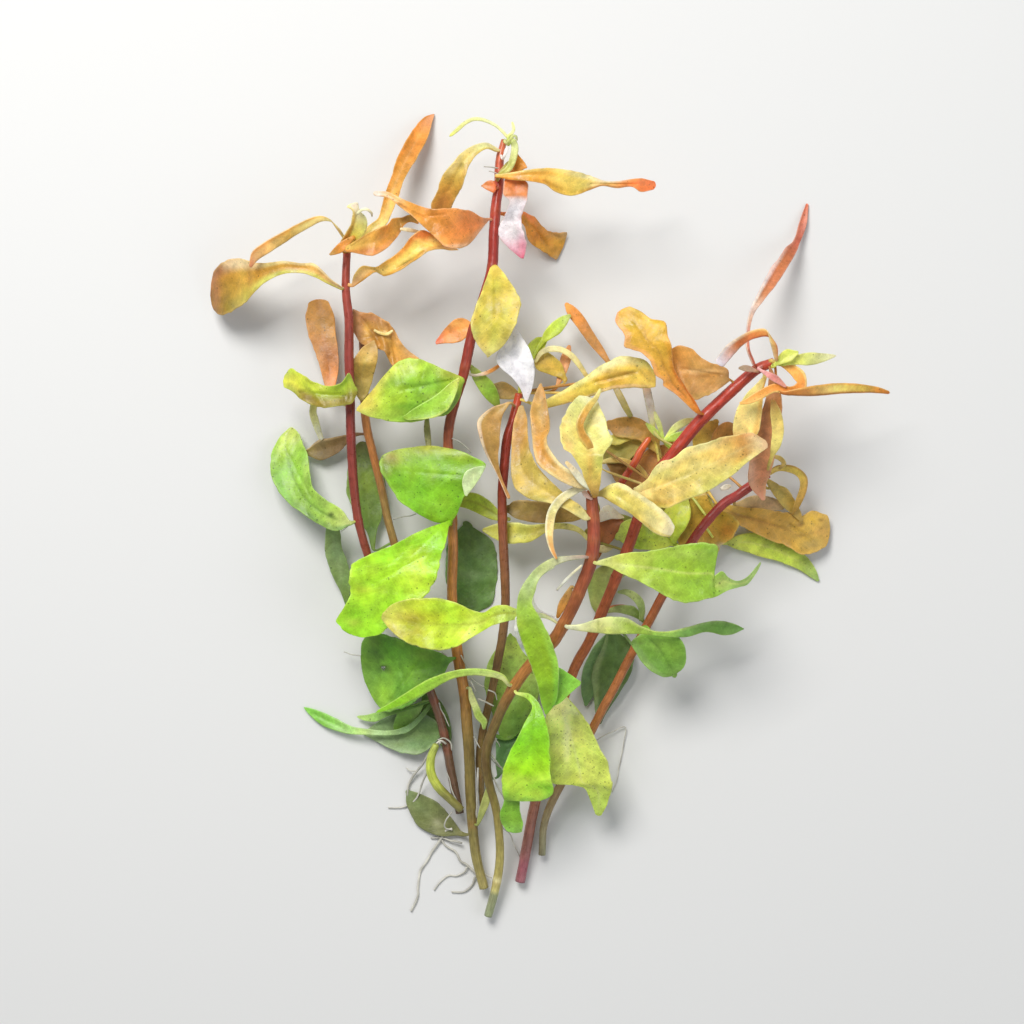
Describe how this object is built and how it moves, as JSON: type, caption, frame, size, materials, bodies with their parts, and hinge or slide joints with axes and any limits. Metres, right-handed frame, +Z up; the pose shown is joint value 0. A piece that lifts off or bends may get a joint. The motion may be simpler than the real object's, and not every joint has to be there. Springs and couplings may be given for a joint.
{
  "type": "ammannia aquarium plant",
  "caption": "Pulled aquarium stem plant lying on its back: red-brown stems from a rooted foot, with narrow leaves shading from orange at the shoot tips to bright green below.",
  "frame": {"origin": "centre of the bounding box's underside, on the surface that the plant lies on", "axes": "+X to the plant's right as seen from above, +Y from the rooted foot to the shoot tips, +Z up, away from the surface"},
  "size_m": [0.1664, 0.2002, 0.0367],
  "materials": {
    "leaf_lime": "satin",
    "leaf_green": "satin",
    "leaf_dark_green": "satin",
    "leaf_olive": "satin",
    "leaf_yellow": "satin",
    "leaf_pale": "satin",
    "leaf_orange": "satin",
    "leaf_rust": "satin",
    "leaf_brown": "satin",
    "leaf_pink": "satin",
    "leaf_white": "satin",
    "stem_red": "satin",
    "stem_orange": "satin",
    "stem_olive": "satin",
    "root": "satin"
  },
  "bodies": {
    "root": {"leaf_back_flat": "leaf_dark_green", "root_tuft": "root", "leaves_lower_back": "leaf_dark_green", "leaves_left_back": "leaf_brown", "leaves_right_low_back": "leaf_dark_green", "leaf_top_back": "leaf_orange", "leaves_right_low": "leaf_olive", "leaves_middle_back": "leaf_brown", "stem_left_back": "stem_orange", "stem_right_back": "stem_red", "leaf_left_brown": "leaf_brown", "leaves_centre_left": "leaf_yellow", "leaves_front_left": "leaf_olive", "stem_middle": "stem_red", "stem_left": "stem_red", "stem_tall": "stem_orange", "side_shoot": "stem_olive", "leaf_left_paddle": "leaf_yellow", "leaf_left_arch": "leaf_orange", "leaf_left_tall": "leaf_orange", "leaf_left_young": "leaf_pale", "leaf_gold_arch": "leaf_yellow", "leaf_left_peach": "leaf_orange", "leaf_left_yellow": "leaf_orange", "leaf_rust": "leaf_rust", "tip_leaves_tall": "leaf_lime", "leaf_top_right": "leaf_orange", "leaf_hanging_pink": "leaf_pink", "leaf_white": "leaf_white", "leaf_olive_facing": "leaf_olive", "leaf_left_green": "leaf_green", "leaf_green_folded": "leaf_green", "leaf_left_spotted": "leaf_green", "leaf_dark_low_left": "leaf_dark_green", "leaf_green_large": "leaf_green", "leaf_bright_down": "leaf_lime", "leaf_lime_across": "leaf_lime", "stem_right": "stem_red", "leaf_right_pink": "leaf_pink", "leaf_right_brown": "leaf_brown", "leaf_golden_long": "leaf_yellow", "leaf_big_orange": "leaf_orange", "leaf_right_tall": "leaf_pink", "tip_leaves_right": "leaf_yellow", "leaf_right_arch": "leaf_orange", "leaf_right_far": "leaf_orange", "leaf_big_pale": "leaf_pale", "leaf_brown_hanging": "leaf_brown", "leaf_pale_low": "leaf_pale", "leaf_hanging_right": "leaf_green", "stem_front": "stem_orange", "leaf_right_lime": "leaf_lime", "leaf_arch_low": "leaf_lime", "leaf_bright_low": "leaf_lime", "leaf_right_large": "leaf_lime", "leaf_long_green": "leaf_green", "leaf_rosette_left": "leaf_olive", "leaf_rosette_tan": "leaf_orange", "leaf_rosette_up": "leaf_pale", "leaf_tongue": "leaf_pale"}
  },
  "joints": []
}
